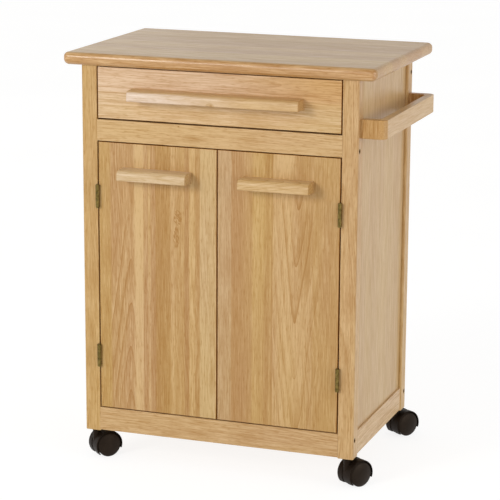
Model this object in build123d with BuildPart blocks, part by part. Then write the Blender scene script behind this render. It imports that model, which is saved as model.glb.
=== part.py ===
"""Wooden kitchen cart: a drawer over a two-door cupboard, a towel bar and four twin-wheel casters.

Millimetres. +X is to the right of someone facing the doors, +Y runs from the doors to the back,
+Z is up. The origin is on the floor, under the middle of the cart's whole outline.
"""

import math
import os

from build123d import *

os.makedirs("parts", exist_ok=True)

# Carcase
body_width = 568.0
body_depth = 375.0
post_size = 32.0
post_height = 746.5
post_round = 3.5
post_ease = 1.0
board_round = 1.2
rail_thickness = 20.0
rail_lift = 2.0
bottom_rail_height = 48.0
mid_rail_height = 42.4
drawer_bay_height = 106.1
back_top_rail_height = 67.0
side_rail_thickness = 18.0
side_rail_setback = 2.0
side_panel_thickness = 9.0
side_panel_setback = 6.0
back_panel_thickness = 4.0
deck_thickness = 9.0
deck_drop = 12.0
tongue = 6.0
groove_play = 0.2
cleat_size = 18.0

# Worktop
worktop_thickness = 24.5
worktop_side_overhang = 35.6
worktop_front_overhang = 12.0
worktop_back_overhang = 26.0
worktop_corner_round = 11.5
worktop_top_round = 9.5
worktop_bottom_round = 11.0

# Shelf and its pins
shelf_thickness = 15.0
shelf_rise = 255.0
shelf_end_play = 2.0
shelf_edge_play = 1.0
pin_radius = 2.5
pin_fit = 0.05
pin_hole_depth = 6.0
pin_reach = 9.0
pin_inset = 42.0

# Doors, drawer front and their pulls
front_thickness = 18.0
door_hinge_gap = 2.6
door_end_gap = 2.0
door_meeting_gap = 2.4
door_pull_length = 143.5
door_pull_drop = 58.5
drawer_side_gap = 2.5
drawer_top_gap = 2.0
drawer_bottom_gap = 3.0
drawer_pull_length = 350.0
drawer_pull_rise = 1.2
pull_projection = 35.5
pull_front_height = 20.0
pull_top_rise = 1.0
pull_heel = 3.0
pull_hollow = 1.4
pull_nose = 10.0
pull_round = 1.6
pull_end_round = 1.0

# Drawer box and runners
drawer_side_thickness = 12.0
drawer_side_height = 78.0
drawer_side_rise = 8.0
drawer_back_gap = 19.0
drawer_bottom_thickness = 4.0
drawer_bottom_rise = 7.0
drawer_box_clearance = 6.0
runner_height = 14.0
runner_width = 13.0
runner_play = 0.3
runner_setback = 3.0
runner_end_gap = 8.0

# Hinges and catch
hinge_height = 45.0
hinge_inset = 108.5
hinge_leaf_thickness = 1.2
hinge_leaf_depth = 14.0
hinge_barrel_radius = 3.9
hinge_proud = 4.3
hinge_pin_radius = 1.6
hinge_pin_head_height = 1.2
hinge_pin_head_radius = 2.8
hinge_pin_play = 0.05
hinge_pin_fit = 0.02
hinge_knuckle_gap = 0.3
strike_width = 22.0
strike_height = 16.0
strike_thickness = 1.6
strike_inset = 4.0
catch_depth = 15.0
catch_height = 46.0
catch_round = 2.0

# Towel bar
towel_bar_reach = 51.0
towel_bar_height = 36.5
towel_bar_drop = 74.9
towel_bar_thickness = 15.0
towel_bar_setback = 10.0
towel_bar_corner = 13.0
towel_bar_cove = 12.0
towel_bar_round = 1.5

# Frame bolts
bolt_radius = 3.0
bolt_head_radius = 4.8
bolt_head_height = 4.0
bolt_head_sink = 0.6
bolt_length = 62.0
bolt_inset = 12.5
bolt_play = 0.3
bolt_fit = 0.05

# Casters
wheel_diameter = 50.0
wheel_inner_face = 4.8
wheel_tread_face = 19.0
wheel_rim_face = 20.6
wheel_dome_face = 24.0
wheel_rim_radius = 22.6
wheel_edge = 1.0
axle_radius = 3.0
axle_half_length = 15.0
axle_fit = 0.02
axle_play = 0.05
axle_end_gap = 0.3
caster_trail = 20.0
fender_thickness = 2.2
wheel_well_play = 1.8
hood_width = 41.0
hood_web = 8.0
hood_rise = 33.0
hood_round = 1.5
hood_valley_width = 12.0
hood_valley_depth = 1.0
hood_front_wrap = 40.0
hood_back_wrap = 18.0
stem_radius = 4.0
stem_play = 0.05
stem_boss_radius = 7.5
stem_in_hood = 10.0
stem_in_post = 30.0
stem_end_gap = 0.5
collar_radius = 9.0
collar_thickness = 1.5
swivel_gap = 0.3
front_left_turn = 48.0
front_right_turn = 56.0
back_left_turn = 52.0
back_right_turn = 55.0

# Casters stand on the floor and carry the posts
wheel_radius = wheel_diameter / 2
hood_top = wheel_radius + hood_rise
post_bottom = hood_top + swivel_gap + collar_thickness
post_top = post_bottom + post_height
worktop_bottom = post_top
worktop_top = worktop_bottom + worktop_thickness
well_radius = wheel_radius + wheel_well_play
fender_radius = well_radius + fender_thickness

# How far the casters stand out behind the posts as they are turned
back_caster_reach = max(
    (caster_trail + fender_radius - hood_round) * math.sin(math.radians(turn))
    + (hood_width / 2 - hood_round) * math.cos(math.radians(turn))
    + hood_round
    - post_size / 2
    for turn in (back_left_turn, back_right_turn)
)
back_reach = max(worktop_back_overhang, back_caster_reach)

# Outer planes of the posts, with the whole outline centred on the origin
left = (worktop_side_overhang - body_width - towel_bar_reach) / 2
right = left + body_width
middle = (left + right) / 2
front = (pull_projection - body_depth - back_reach) / 2
back = front + body_depth

# Levels and inner faces
rail_bottom = post_bottom + rail_lift
rail_top = rail_bottom + bottom_rail_height
mid_rail_top = post_top - drawer_bay_height
mid_rail_bottom = mid_rail_top - mid_rail_height
back_rail_bottom = post_top - back_top_rail_height
deck_top = rail_top - deck_drop
deck_bottom = deck_top - deck_thickness
shelf_bottom = deck_top + shelf_rise
post_inner = body_width / 2 - post_size
panel_outer = body_width / 2 - side_panel_setback
panel_inner = panel_outer - side_panel_thickness
side_rail_outer = body_width / 2 - side_rail_setback
side_rail_inner = side_rail_outer - side_rail_thickness
front_post_back = front + post_size
back_post_front = back - post_size
front_rail_back = front + rail_thickness
back_rail_front = back - rail_thickness
back_panel_front = back - (rail_thickness + back_panel_thickness) / 2
back_panel_back = back_panel_front + back_panel_thickness
door_bottom = rail_top + door_end_gap
door_top = mid_rail_bottom - door_end_gap
hinge_levels = (door_bottom + hinge_inset, door_top - hinge_inset)
front_back = front + front_thickness


def across(side, inner, outer):
    """Limits along X of a piece lying between two distances from the cart's middle plane."""
    return sorted((middle + side * inner, middle + side * outer))


def board(x, y, z, mode=Mode.ADD):
    """Squared timber, or a squared cut, between the low and high limits along each axis."""
    with Locations(((x[0] + x[1]) / 2, (y[0] + y[1]) / 2, (z[0] + z[1]) / 2)):
        Box(x[1] - x[0], y[1] - y[0], z[1] - z[0], mode=mode)


def save(piece, name):
    """Name a finished piece and write it."""
    piece.part.label = name
    export_step(piece.part, f"parts/{name}.step")


def bolt_hole(side, y, z, head=True):
    """Hole for a frame bolt that enters through the outer face of a post."""
    face = Plane(origin=(middle + side * body_width / 2, y, z), z_dir=(side, 0, 0))
    hole_radius = bolt_radius + bolt_play if head else bolt_radius + bolt_fit
    with BuildSketch(face) as bore:
        Circle(hole_radius)
    extrude(bore.sketch, amount=-bolt_head_sink - bolt_head_height - bolt_length, mode=Mode.SUBTRACT)
    if head:
        with BuildSketch(face) as seat:
            Circle(bolt_head_radius + bolt_play)
        extrude(seat.sketch, amount=-bolt_head_sink - bolt_head_height, mode=Mode.SUBTRACT)


# Bolt places: the depth and height of each rail's bolt in its post
front_bolt_y = front + rail_thickness / 2
back_bolt_y = back - rail_thickness / 2
low_bolt_z = rail_top - bolt_inset
mid_bolt_z = mid_rail_bottom + bolt_inset
back_bolt_z = (back_rail_bottom + post_top) / 2
front_bolts = ((front_bolt_y, low_bolt_z), (front_bolt_y, mid_bolt_z))
back_bolts = ((back_bolt_y, low_bolt_z), (back_bolt_y, back_bolt_z))

# Worktop: one slab, rounded all round, that oversails the posts
with BuildPart() as worktop:
    worktop_width = body_width + 2 * worktop_side_overhang
    worktop_depth = body_depth + worktop_front_overhang + worktop_back_overhang
    with BuildSketch(Plane.XY.offset(worktop_bottom)):
        with Locations((middle, (front - worktop_front_overhang + back + worktop_back_overhang) / 2)):
            RectangleRounded(worktop_width, worktop_depth, worktop_corner_round)
    extrude(amount=worktop_thickness)
    fillet(worktop.faces().sort_by(Axis.Z)[-1].edges(), worktop_top_round)
    fillet(worktop.faces().sort_by(Axis.Z)[0].edges(), worktop_bottom_round)
save(worktop, "worktop")

# Four square posts, grooved for the panels, bored for the bolts and the caster stems
for side, side_name in ((-1, "left"), (1, "right")):
    for end, end_name in ((-1, "front"), (1, "back")):
        post_y = (front, front_post_back) if end < 0 else (back_post_front, back)
        with BuildPart() as post:
            board(across(side, post_inner, body_width / 2), post_y, (post_bottom, post_top))
            outer = -1 if side > 0 else 0
            fillet(post.edges().filter_by(Axis.Z).group_by(Axis.X)[outer], post_round)
            inner = 0 if side > 0 else -1
            inner_edges = post.edges().filter_by(Axis.Z).group_by(Axis.X)[inner]
            fillet(inner_edges + post.faces().sort_by(Axis.Z)[0].edges(), post_ease)
            groove_floor = tongue + groove_play
            if end < 0:
                groove_y = (front_post_back - groove_floor, front_post_back)
            else:
                groove_y = (back_post_front, back_post_front + groove_floor)
            board(
                across(side, panel_inner - groove_play, panel_outer + groove_play),
                groove_y,
                (rail_top - groove_floor, post_top),
                mode=Mode.SUBTRACT,
            )
            if end > 0:
                board(
                    across(side, post_inner, post_inner + groove_floor),
                    (back_panel_front - groove_play, back_panel_back + groove_play),
                    (rail_top - groove_floor, back_rail_bottom + groove_floor),
                    mode=Mode.SUBTRACT,
                )
            else:
                for level in hinge_levels:
                    board(
                        across(side, post_inner, post_inner + hinge_leaf_thickness),
                        (front, front + hinge_leaf_depth),
                        (level - hinge_height / 2, level + hinge_height / 2),
                        mode=Mode.SUBTRACT,
                    )
            for bolt_y, bolt_z in front_bolts if end < 0 else back_bolts:
                bolt_hole(side, bolt_y, bolt_z)
            with BuildSketch(Plane.XY.offset(post_bottom)):
                with Locations((middle + side * (post_inner + post_size / 2), sum(post_y) / 2)):
                    Circle(stem_radius + stem_play)
            extrude(amount=stem_in_post + stem_end_gap, mode=Mode.SUBTRACT)
        save(post, f"{end_name}_{side_name}_post")

# Front rails: the middle one under the drawer and the bottom one under the doors
rail_x = across(1, -post_inner, post_inner)
with BuildPart() as front_mid_rail:
    board(rail_x, (front, front_rail_back), (mid_rail_bottom, mid_rail_top))
    fillet(front_mid_rail.faces().sort_by(Axis.Y)[0].edges().filter_by(Axis.X), board_round)
    for side in (-1, 1):
        bolt_hole(side, front_bolt_y, mid_bolt_z, head=False)
save(front_mid_rail, "front_mid_rail")

with BuildPart() as front_bottom_rail:
    board(rail_x, (front, front_rail_back), (rail_bottom, rail_top))
    fillet(front_bottom_rail.faces().sort_by(Axis.Y)[0].edges().filter_by(Axis.X), board_round)
    board(
        rail_x,
        (front_rail_back - tongue - groove_play, front_rail_back),
        (deck_bottom - groove_play, deck_top + groove_play),
        mode=Mode.SUBTRACT,
    )
    for side in (-1, 1):
        bolt_hole(side, front_bolt_y, low_bolt_z, head=False)
save(front_bottom_rail, "front_bottom_rail")

# Back rails, grooved for the back panel, and the lower one for the deck too
with BuildPart() as back_top_rail:
    board(rail_x, (back_rail_front, back), (back_rail_bottom, post_top))
    fillet(back_top_rail.faces().sort_by(Axis.Y)[-1].edges().group_by(Axis.Z)[0], board_round)
    board(
        rail_x,
        (back_panel_front - groove_play, back_panel_back + groove_play),
        (back_rail_bottom, back_rail_bottom + tongue + groove_play),
        mode=Mode.SUBTRACT,
    )
    for side in (-1, 1):
        bolt_hole(side, back_bolt_y, back_bolt_z, head=False)
save(back_top_rail, "back_top_rail")

with BuildPart() as back_bottom_rail:
    board(rail_x, (back_rail_front, back), (rail_bottom, rail_top))
    fillet(back_bottom_rail.faces().sort_by(Axis.Y)[-1].edges().filter_by(Axis.X), board_round)
    board(
        rail_x,
        (back_panel_front - groove_play, back_panel_back + groove_play),
        (rail_top - tongue - groove_play, rail_top),
        mode=Mode.SUBTRACT,
    )
    board(
        rail_x,
        (back_rail_front, back_rail_front + tongue + groove_play),
        (deck_bottom - groove_play, deck_top + groove_play),
        mode=Mode.SUBTRACT,
    )
    for side in (-1, 1):
        bolt_hole(side, back_bolt_y, low_bolt_z, head=False)
save(back_bottom_rail, "back_bottom_rail")

# Pins stand in the side panels and carry the shelf
pin_z = shelf_bottom - pin_radius
pin_places = (front_post_back + pin_inset, back_post_front - pin_inset)
bay_y = (front_post_back, back_post_front)

for side, side_name in ((-1, "left"), (1, "right")):
    # Lower side rail, set back from the posts, with the panel in its top and the deck in its face
    with BuildPart() as side_rail:
        board(across(side, side_rail_inner, side_rail_outer), bay_y, (rail_bottom, rail_top))
        outer_face = side_rail.faces().sort_by(Axis.X)[0 if side < 0 else -1]
        fillet(outer_face.edges().filter_by(Axis.Y), board_round)
        board(
            across(side, panel_inner - groove_play, panel_outer + groove_play),
            bay_y,
            (rail_top - tongue - groove_play, rail_top),
            mode=Mode.SUBTRACT,
        )
        board(
            across(side, side_rail_inner, side_rail_inner + tongue + groove_play),
            bay_y,
            (deck_bottom - groove_play, deck_top + groove_play),
            mode=Mode.SUBTRACT,
        )
    save(side_rail, f"{side_name}_side_rail")

    # Side panel, held on three edges in grooves, with two holes for the shelf pins
    with BuildPart() as side_panel:
        board(
            across(side, panel_inner, panel_outer),
            (front_post_back - tongue, back_post_front + tongue),
            (rail_top - tongue, post_top),
        )
        panel_face = Plane(origin=(middle + side * panel_inner, 0, 0), z_dir=(side, 0, 0))
        for pin_y in pin_places:
            with BuildSketch(panel_face):
                with Locations(panel_face.to_local_coords(Vector(middle + side * panel_inner, pin_y, pin_z))):
                    Circle(pin_radius + pin_fit)
            extrude(amount=pin_hole_depth, mode=Mode.SUBTRACT)
    save(side_panel, f"{side_name}_side_panel")

    # Cleat under the worktop, along the head of the side panel
    with BuildPart() as top_cleat:
        board(across(side, panel_inner - cleat_size, panel_inner), bay_y, (post_top - cleat_size, post_top))
        inner_face = top_cleat.faces().sort_by(Axis.X)[-1 if side < 0 else 0]
        fillet(inner_face.edges().group_by(Axis.Z)[0], board_round)
    save(top_cleat, f"{side_name}_top_cleat")

# Back panel: thin sheet in the grooves of the back posts and rails
with BuildPart() as back_panel:
    board(
        across(1, -post_inner - tongue, post_inner + tongue),
        (back_panel_front, back_panel_back),
        (rail_top - tongue, back_rail_bottom + tongue),
    )
save(back_panel, "back_panel")

# Deck: the cupboard's floor, in the grooves of the four low rails and notched round the posts
with BuildPart() as bottom_panel:
    deck_half_width = side_rail_inner + tongue
    deck_y = (front_rail_back - tongue, back_rail_front + tongue)
    board(across(1, -deck_half_width, deck_half_width), deck_y, (deck_bottom, deck_top))
    front_notch = (deck_y[0], front_post_back + groove_play)
    back_notch = (back_post_front - groove_play, deck_y[1])
    for side in (-1, 1):
        notch_x = across(side, post_inner - groove_play, deck_half_width)
        for notch_y in (front_notch, back_notch):
            board(notch_x, notch_y, (deck_bottom, deck_top), mode=Mode.SUBTRACT)
save(bottom_panel, "bottom_panel")

# Shelf on four pins
with BuildPart() as shelf:
    shelf_half_width = panel_inner - shelf_end_play
    board(
        across(1, -shelf_half_width, shelf_half_width),
        (front_post_back + shelf_edge_play, back_post_front - shelf_edge_play),
        (shelf_bottom, shelf_bottom + shelf_thickness),
    )
    fillet(shelf.faces().sort_by(Axis.Y)[0].edges().filter_by(Axis.X), board_round)
save(shelf, "shelf")

with BuildPart() as shelf_pins:
    for side in (-1, 1):
        pin_foot = Plane(origin=(middle + side * (panel_inner + pin_hole_depth), 0, 0), z_dir=(-side, 0, 0))
        for pin_y in pin_places:
            with BuildSketch(pin_foot):
                with Locations(pin_foot.to_local_coords(Vector(pin_foot.origin.X, pin_y, pin_z))):
                    Circle(pin_radius)
            extrude(amount=pin_hole_depth + pin_reach)
save(shelf_pins, "shelf_pins")

# Bolts through the posts into the ends of the rails
with BuildPart() as frame_bolts:
    for side in (-1, 1):
        for bolt_y, bolt_z in front_bolts + back_bolts:
            head_x = middle + side * (body_width / 2 - bolt_head_sink)
            head_plane = Plane(origin=(head_x, bolt_y, bolt_z), z_dir=(-side, 0, 0))
            with BuildSketch(head_plane):
                Circle(bolt_head_radius)
            extrude(amount=bolt_head_height)
            with BuildSketch(head_plane.offset(bolt_head_height)):
                Circle(bolt_radius)
            extrude(amount=bolt_length - bolt_play)
save(frame_bolts, "frame_bolts")

# Towel bar on the right: two arms on the posts and a rail with rounded ends
towel_z = post_top - towel_bar_drop - towel_bar_height
towel_inner = right + towel_bar_reach - towel_bar_thickness
towel_outer = right + towel_bar_reach
towel_y = (front + towel_bar_setback, back - towel_bar_setback)

for end, end_name in ((1, "front"), (-1, "back")):
    end_y = towel_y[0] if end > 0 else towel_y[1]
    inside_y = end_y + end * towel_bar_thickness
    with BuildPart() as towel_arm:
        with BuildSketch(Plane.XY.offset(towel_z)):
            with BuildLine():
                Line((right, inside_y), (right, end_y))
                Line((right, end_y), (towel_inner, end_y))
                Line((towel_inner, end_y), (towel_inner, inside_y + end * towel_bar_cove))
                cove_start = (towel_inner, inside_y + end * towel_bar_cove)
                cove_end = (towel_inner - towel_bar_cove, inside_y)
                RadiusArc(cove_start, cove_end, end * towel_bar_cove)
                Line(cove_end, (right, inside_y))
            make_face()
        extrude(amount=towel_bar_height)
        arm_face = towel_arm.faces().sort_by(Axis.Y)[0 if end > 0 else -1]
        fillet(arm_face.edges().filter_by(Axis.X), towel_bar_round)
    save(towel_arm, f"towel_bar_{end_name}_arm")

with BuildPart() as towel_rail:
    board((towel_inner, towel_outer), towel_y, (towel_z, towel_z + towel_bar_height))
    fillet(towel_rail.faces().sort_by(Axis.X)[-1].edges().filter_by(Axis.Z), towel_bar_corner)
    smooth_outline = towel_rail.faces().filter_by(Axis.Z).edges()
    fillet(smooth_outline - towel_rail.faces().sort_by(Axis.X)[0].edges(), towel_bar_round)
save(towel_rail, "towel_bar_rail")

# Wooden runners on the inner faces of the posts carry the drawer
drawer_left_edge = middle - post_inner + drawer_side_gap
drawer_right_edge = middle + post_inner - drawer_side_gap
drawer_front_z = (mid_rail_top + drawer_bottom_gap, post_top - drawer_top_gap)
drawer_side_bottom = drawer_front_z[0] + drawer_side_rise
drawer_side_z = (drawer_side_bottom, drawer_side_bottom + drawer_side_height)
drawer_y = (front_back, back_rail_front - drawer_back_gap)
drawer_outer = post_inner - drawer_box_clearance
drawer_inner = drawer_outer - drawer_side_thickness
runner_inner = post_inner - runner_width
runner_middle = sum(drawer_side_z) / 2
runner_z = (runner_middle - runner_height / 2, runner_middle + runner_height / 2)

for side, side_name in ((-1, "left"), (1, "right")):
    with BuildPart() as runner:
        board(
            across(side, runner_inner, post_inner),
            (front_back + runner_setback, back_panel_front - runner_end_gap),
            runner_z,
        )
        slide_face = runner.faces().sort_by(Axis.X)[-1 if side < 0 else 0]
        fillet(slide_face.edges().filter_by(Axis.Y), board_round)
    save(runner, f"{side_name}_drawer_runner")

# Drawer box: grooved sides on the runners, a back, and a thin bottom in grooves
bottom_under = drawer_side_bottom + drawer_bottom_rise
bottom_z = (bottom_under, bottom_under + drawer_bottom_thickness)
bottom_groove_z = (bottom_z[0] - groove_play, bottom_z[1] + groove_play)
drawer_back_front = drawer_y[1] - drawer_side_thickness

with BuildPart() as drawer_front:
    board((drawer_left_edge, drawer_right_edge), (front, front_back), drawer_front_z)
    fillet(drawer_front.faces().sort_by(Axis.Y)[0].edges(), board_round)
    board(
        across(1, -drawer_inner, drawer_inner),
        (front_back - tongue - groove_play, front_back),
        bottom_groove_z,
        mode=Mode.SUBTRACT,
    )
save(drawer_front, "drawer_front")

for side, side_name in ((-1, "left"), (1, "right")):
    with BuildPart() as drawer_side:
        board(across(side, drawer_inner, drawer_outer), drawer_y, drawer_side_z)
        fillet(drawer_side.faces().sort_by(Axis.Z)[-1].edges().filter_by(Axis.Y), board_round)
        board(
            across(side, runner_inner - runner_play, drawer_outer),
            drawer_y,
            (runner_z[0] - runner_play, runner_z[1] + runner_play),
            mode=Mode.SUBTRACT,
        )
        board(
            across(side, drawer_inner, drawer_inner + tongue + groove_play),
            (drawer_y[0], drawer_y[1] - drawer_side_thickness),
            bottom_groove_z,
            mode=Mode.SUBTRACT,
        )
    save(drawer_side, f"drawer_{side_name}_side")

with BuildPart() as drawer_back:
    board(
        across(1, -drawer_inner, drawer_inner),
        (drawer_back_front, drawer_y[1]),
        drawer_side_z,
    )
    fillet(drawer_back.faces().sort_by(Axis.Z)[-1].edges().filter_by(Axis.X), board_round)
    board(
        across(1, -drawer_inner, drawer_inner),
        (drawer_back_front, drawer_back_front + tongue + groove_play),
        bottom_groove_z,
        mode=Mode.SUBTRACT,
    )
save(drawer_back, "drawer_back")

with BuildPart() as drawer_bottom:
    board(
        across(1, -drawer_inner - tongue, drawer_inner + tongue),
        (drawer_y[0] + groove_play, drawer_back_front - groove_play),
        bottom_z,
    )
    front_tongue = (drawer_y[0] - tongue, drawer_y[0] + groove_play)
    back_tongue = (drawer_back_front - groove_play, drawer_back_front + tongue)
    for tongue_y in (front_tongue, back_tongue):
        board(across(1, groove_play - drawer_inner, drawer_inner - groove_play), tongue_y, bottom_z)
save(drawer_bottom, "drawer_bottom")


def pull(length, x, z):
    """Wooden bar pull: rounded over at the top of its nose and hollowed underneath for the fingers."""
    with BuildSketch(Plane(origin=(x + length / 2, front, z), x_dir=(0, -1, 0), z_dir=(-1, 0, 0))) as section:
        with BuildLine():
            half_front = pull_front_height / 2
            back_line = Line((0, half_front + pull_top_rise), (0, -half_front - pull_heel))
            front_line = Line((pull_projection, -half_front), (pull_projection, half_front))
            SagittaArc(back_line @ 1, front_line @ 0, pull_hollow)
            Line(front_line @ 1, back_line @ 0)
        make_face()
        fillet(section.vertices().group_by(Axis.X)[-1].sort_by(Axis.Y)[0], pull_round)
        fillet(section.vertices().group_by(Axis.X)[-1].sort_by(Axis.Y)[-1], pull_nose)
    extrude(section.sketch, amount=length)


def pull_ends(bar):
    """Edges round both ends of a pull, except those that lie against the front."""
    ends = ShapeList()
    for end_face in bar.faces().filter_by(Axis.X):
        ends += end_face.edges().sort_by(Axis.Y)[:-1]
    return ends


with BuildPart() as drawer_pull:
    pull(drawer_pull_length, middle, sum(drawer_front_z) / 2 + drawer_pull_rise)
    fillet(pull_ends(drawer_pull), pull_end_round)
save(drawer_pull, "drawer_pull")

# Doors: a slab, its pull, its two hinge leaves let into the edge and a strike plate for the catch
door_outer = post_inner - door_hinge_gap
door_inner = door_meeting_gap / 2
knuckle = (hinge_height - 2 * hinge_knuckle_gap) / 3
hinge_axis = post_inner - door_hinge_gap / 2
hinge_y = front - hinge_proud


def hinge_leaf(side, level, plate, knuckles, bore):
    """One leaf of a butt hinge: a plate let into the wood, curled round the pin at its knuckles."""
    foot = level - hinge_height / 2
    board(across(side, *plate), (front, front + hinge_leaf_depth), (foot, foot + hinge_height))
    pin_point = (middle + side * hinge_axis, hinge_y)
    for step in knuckles:
        knuckle_foot = foot + step * (knuckle + hinge_knuckle_gap)
        knuckle_z = (knuckle_foot, knuckle_foot + knuckle)
        board(across(side, *plate), (hinge_y, front + hinge_leaf_depth), knuckle_z)
        with BuildSketch(Plane.XY.offset(knuckle_foot)) as curl:
            with Locations(pin_point):
                Circle(hinge_barrel_radius)
        extrude(curl.sketch, amount=knuckle)
        with BuildSketch(Plane.XY.offset(knuckle_foot)) as eye:
            with Locations(pin_point):
                Circle(bore)
        extrude(eye.sketch, amount=knuckle, mode=Mode.SUBTRACT)


for side, side_name in ((-1, "left"), (1, "right")):
    with BuildPart() as door_panel:
        board(across(side, door_inner, door_outer), (front, front_back), (door_bottom, door_top))
        fillet(door_panel.faces().sort_by(Axis.Y)[0].edges(), board_round)
        for level in hinge_levels:
            board(
                across(side, door_outer - hinge_leaf_thickness, door_outer),
                (front, front + hinge_leaf_depth),
                (level - hinge_height / 2, level + hinge_height / 2),
                mode=Mode.SUBTRACT,
            )
    save(door_panel, f"{side_name}_door_panel")

    with BuildPart() as door_pull:
        pull(door_pull_length, middle + side * (door_inner + door_outer) / 2, door_top - door_pull_drop)
        fillet(pull_ends(door_pull), pull_end_round)
    save(door_pull, f"{side_name}_door_pull")

    with BuildPart() as door_leaves:
        for level in hinge_levels:
            plate = (door_outer - hinge_leaf_thickness, door_outer)
            hinge_leaf(side, level, plate, (1,), hinge_pin_radius + hinge_pin_play)
    save(door_leaves, f"{side_name}_door_hinge_leaves")

    with BuildPart() as strike:
        board(
            across(side, door_inner + strike_inset, door_inner + strike_inset + strike_width),
            (front_back, front_back + strike_thickness),
            (door_top - strike_inset - strike_height, door_top - strike_inset),
        )
        fillet(strike.edges().filter_by(Axis.Y), board_round)
    save(strike, f"{side_name}_door_strike")

with BuildPart() as frame_leaves:
    for side in (-1, 1):
        for level in hinge_levels:
            plate = (post_inner, post_inner + hinge_leaf_thickness)
            hinge_leaf(side, level, plate, (0, 2), hinge_pin_radius + hinge_pin_fit)
save(frame_leaves, "hinge_frame_leaves")

with BuildPart() as hinge_pins:
    for side in (-1, 1):
        for level in hinge_levels:
            foot = level - hinge_height / 2
            pin_point = (middle + side * hinge_axis, hinge_y)
            with BuildSketch(Plane.XY.offset(foot)):
                with Locations(pin_point):
                    Circle(hinge_pin_radius)
            extrude(amount=hinge_height)
            for head_z in (foot - hinge_pin_head_height, foot + hinge_height):
                with BuildSketch(Plane.XY.offset(head_z)):
                    with Locations(pin_point):
                        Circle(hinge_pin_head_radius)
                extrude(amount=hinge_pin_head_height)
save(hinge_pins, "hinge_pins")

# Double magnetic catch behind the middle rail, reaching down behind both doors
with BuildPart() as door_catch:
    catch_half_width = door_inner + strike_inset + strike_width
    catch_foot = door_top - strike_inset - strike_height
    board(
        across(1, -catch_half_width, catch_half_width),
        (front_rail_back, front_rail_back + catch_depth),
        (catch_foot, catch_foot + catch_height),
    )
    fillet(door_catch.faces().sort_by(Axis.Y)[-1].edges(), catch_round)
save(door_catch, "door_catch")


def caster(name, x, y, turn):
    """A hooded twin-wheel caster: hood and axle, and a wheel on each side of the hood's web."""
    heading = math.radians(turn)
    trail_way = (math.cos(heading), math.sin(heading), 0)
    axle_way = (math.sin(heading), -math.cos(heading), 0)
    side_plane = Plane(origin=(x, y, 0), x_dir=trail_way, z_dir=axle_way)
    axle = (caster_trail, wheel_radius)
    axle_point = side_plane.from_local_coords(Vector(caster_trail, wheel_radius, 0))

    with BuildPart() as hood:
        fender_sweep = 180 + hood_front_wrap + hood_back_wrap
        with BuildSketch(side_plane):
            with BuildLine():
                fender = CenterArc(axle, fender_radius, -hood_back_wrap, fender_sweep)
                Line(fender @ 1, fender @ 0)
            make_face()
        extrude(amount=hood_width / 2, both=True)
        rim = ShapeList()
        for end_face in hood.faces().filter_by(side_plane):
            rim += end_face.edges().filter_by(GeomType.CIRCLE)
        fillet(rim, hood_round)
        with BuildSketch(side_plane):
            with Locations(axle):
                Circle(fender_radius + hood_round)
                Circle(fender_radius - hood_valley_depth, mode=Mode.SUBTRACT)
        extrude(amount=hood_valley_width / 2, both=True, mode=Mode.SUBTRACT)
        with BuildSketch(Plane.XY.offset(hood_top)):
            with Locations((x, y)):
                Circle(stem_boss_radius)
        extrude(amount=wheel_radius - hood_top)
        fillet(hood.faces().sort_by(Axis.Z)[-1].edges(), hood_round)
        for side in (-1, 1):
            with BuildSketch(side_plane.offset(side * hood_web / 2)):
                with Locations(axle):
                    Circle(well_radius)
            extrude(amount=side * hood_width, mode=Mode.SUBTRACT)
        with BuildSketch(side_plane):
            with Locations(axle):
                Circle(axle_radius + axle_fit)
        extrude(amount=hood_web, both=True, mode=Mode.SUBTRACT)
        with BuildSketch(Plane.XY.offset(hood_top)):
            with Locations((x, y)):
                Circle(stem_radius + stem_play)
        extrude(amount=-stem_in_hood - stem_end_gap, mode=Mode.SUBTRACT)
    save(hood, f"{name}_caster_hood")

    with BuildPart() as axle_rod:
        with BuildSketch(side_plane):
            with Locations(axle):
                Circle(axle_radius)
        extrude(amount=axle_half_length, both=True)
    save(axle_rod, f"{name}_caster_axle")

    for side, side_name in ((-1, "left"), (1, "right")):
        out = Vector(*axle_way) * side
        section = Plane(origin=axle_point, x_dir=out, z_dir=out.cross(Vector(0, 0, 1)))
        with BuildPart() as wheel:
            with BuildSketch(section):
                with BuildLine():
                    bore = axle_radius + axle_play
                    bore_end = axle_half_length + axle_end_gap
                    flank = Polyline(
                        (wheel_dome_face, 0),
                        (bore_end, 0),
                        (bore_end, bore),
                        (wheel_inner_face, bore),
                        (wheel_inner_face, wheel_radius - wheel_edge),
                        (wheel_inner_face + wheel_edge, wheel_radius),
                        (wheel_tread_face, wheel_radius),
                        (wheel_rim_face, wheel_rim_radius),
                    )
                    TangentArc(flank @ 0, flank @ 1, tangent=(0, 1))
                make_face()
            revolve(axis=Axis(axle_point, out))
        save(wheel, f"{name}_caster_{side_name}_wheel")


corner = post_inner + post_size / 2
caster("front_left", middle - corner, front + post_size / 2, front_left_turn)
caster("front_right", middle + corner, front + post_size / 2, front_right_turn)
caster("back_left", middle - corner, back - post_size / 2, back_left_turn)
caster("back_right", middle + corner, back - post_size / 2, back_right_turn)

# Stems: fixed in the posts, each with a collar that the post stands on, turning in the hoods
with BuildPart() as caster_stems:
    for side in (-1, 1):
        for stem_y in (front + post_size / 2, back - post_size / 2):
            stem_point = (middle + side * corner, stem_y)
            with BuildSketch(Plane.XY.offset(hood_top - stem_in_hood)):
                with Locations(stem_point):
                    Circle(stem_radius)
            extrude(amount=stem_in_hood + swivel_gap + collar_thickness + stem_in_post)
            with BuildSketch(Plane.XY.offset(post_bottom - collar_thickness)):
                with Locations(stem_point):
                    Circle(collar_radius)
            extrude(amount=collar_thickness)
save(caster_stems, "caster_stems")
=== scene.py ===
import math

import bpy
from mathutils import Matrix, Vector


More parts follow.
